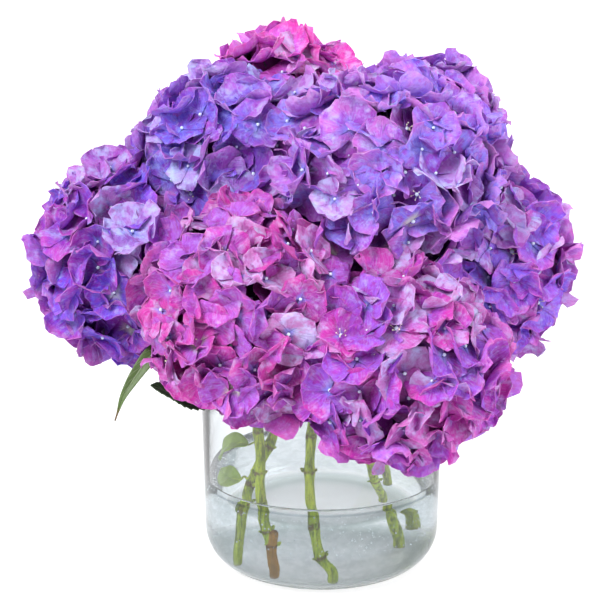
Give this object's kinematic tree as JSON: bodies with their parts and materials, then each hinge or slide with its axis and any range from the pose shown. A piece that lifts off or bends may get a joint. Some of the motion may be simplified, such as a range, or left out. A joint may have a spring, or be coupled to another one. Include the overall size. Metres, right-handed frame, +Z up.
{
  "type": "hydrangeas in a vase",
  "caption": "Mophead hydrangeas in pink, purple and blue, a full round bouquet on forked green stems in a clear glass cylinder vase part filled with water.",
  "frame": {"origin": "centre of the vase's base, on the surface it stands on", "axes": "+Z up, -Y towards the front of the bouquet, +X to the right as seen from the front"},
  "size_m": [0.4025, 0.3665, 0.3999],
  "materials": {
    "vase_glass": "polished",
    "water": "polished",
    "head_orchid_petals": "matte",
    "head_magenta_petals": "matte",
    "head_lavender_petals": "matte",
    "head_periwinkle_petals": "matte",
    "head_violet_petals": "matte",
    "head_hot_pink_petals": "matte",
    "head_lilac_petals": "matte",
    "head_purple_petals": "matte",
    "head_back_blue_petals": "matte",
    "head_back_mauve_petals": "matte",
    "stem_left_bark": "satin",
    "stem_woody_bark": "satin",
    "stem_front_bark": "satin",
    "stem_right_bark": "satin",
    "stem_back_bark": "satin",
    "leaf_sage_blade": "matte",
    "leaf_dark_blade": "matte",
    "leaf_pale_blade": "matte",
    "leaf_low_blade": "matte",
    "leaf_back_right_blade": "matte",
    "leaf_back_left_blade": "matte"
  },
  "bodies": {
    "root": {"vase": "vase_glass", "water": "water", "head_orchid": "head_orchid_petals", "head_magenta": "head_magenta_petals", "head_lavender": "head_lavender_petals", "head_periwinkle": "head_periwinkle_petals", "head_violet": "head_violet_petals", "head_hot_pink": "head_hot_pink_petals", "head_lilac": "head_lilac_petals", "head_purple": "head_purple_petals", "head_back_blue": "head_back_blue_petals", "head_back_mauve": "head_back_mauve_petals", "stem_left": "stem_left_bark", "stem_woody": "stem_woody_bark", "stem_front": "stem_front_bark", "stem_right": "stem_right_bark", "stem_back": "stem_back_bark", "leaf_sage": "leaf_sage_blade", "leaf_dark": "leaf_dark_blade", "leaf_pale": "leaf_pale_blade", "leaf_low": "leaf_low_blade", "leaf_back_right": "leaf_back_right_blade", "leaf_back_left": "leaf_back_left_blade"}
  },
  "joints": []
}
